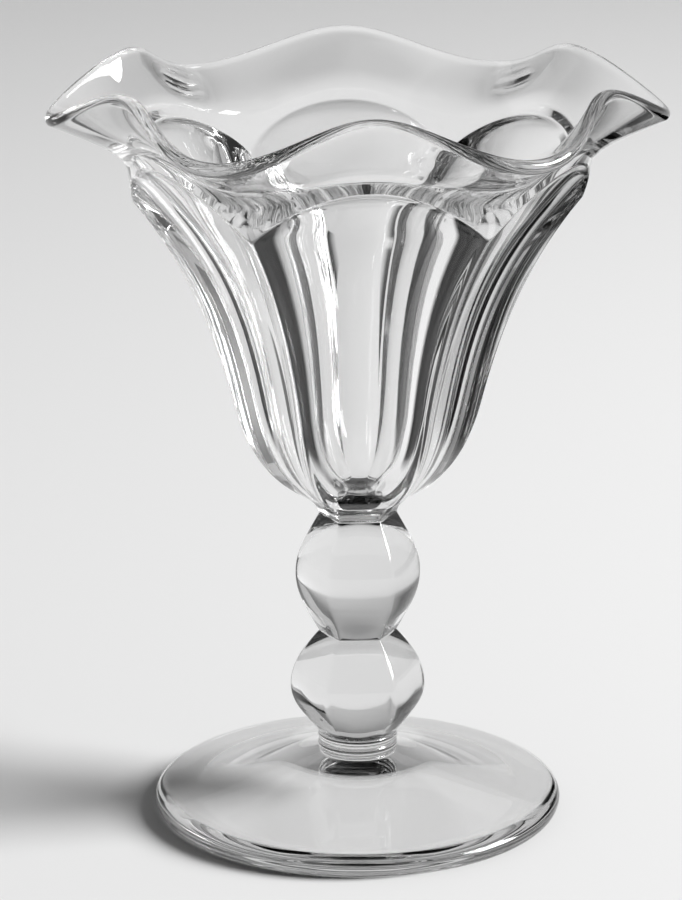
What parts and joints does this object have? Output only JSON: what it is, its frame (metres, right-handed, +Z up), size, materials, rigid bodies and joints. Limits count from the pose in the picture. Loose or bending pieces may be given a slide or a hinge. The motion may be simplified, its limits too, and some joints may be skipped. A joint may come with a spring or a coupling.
{
  "type": "footed sundae glass",
  "caption": "Footed tulip sundae glass in clear pressed glass, with arch-topped flutes, a ruffled rim and a stem of faceted knops on a round foot.",
  "frame": {"origin": "centre of the foot's resting plane, on the glass's axis", "axes": "+Z up along the glass's axis, -Y towards the viewer through the middle of a flute"},
  "size_m": [0.1216, 0.1106, 0.1524],
  "materials": {
    "clear_glass": "clear pressed soda-lime glass, fire-polished"
  },
  "bodies": {
    "root": {"bowl": "clear_glass", "upper_knop": "clear_glass", "lower_knop": "clear_glass", "foot": "clear_glass"}
  },
  "joints": []
}
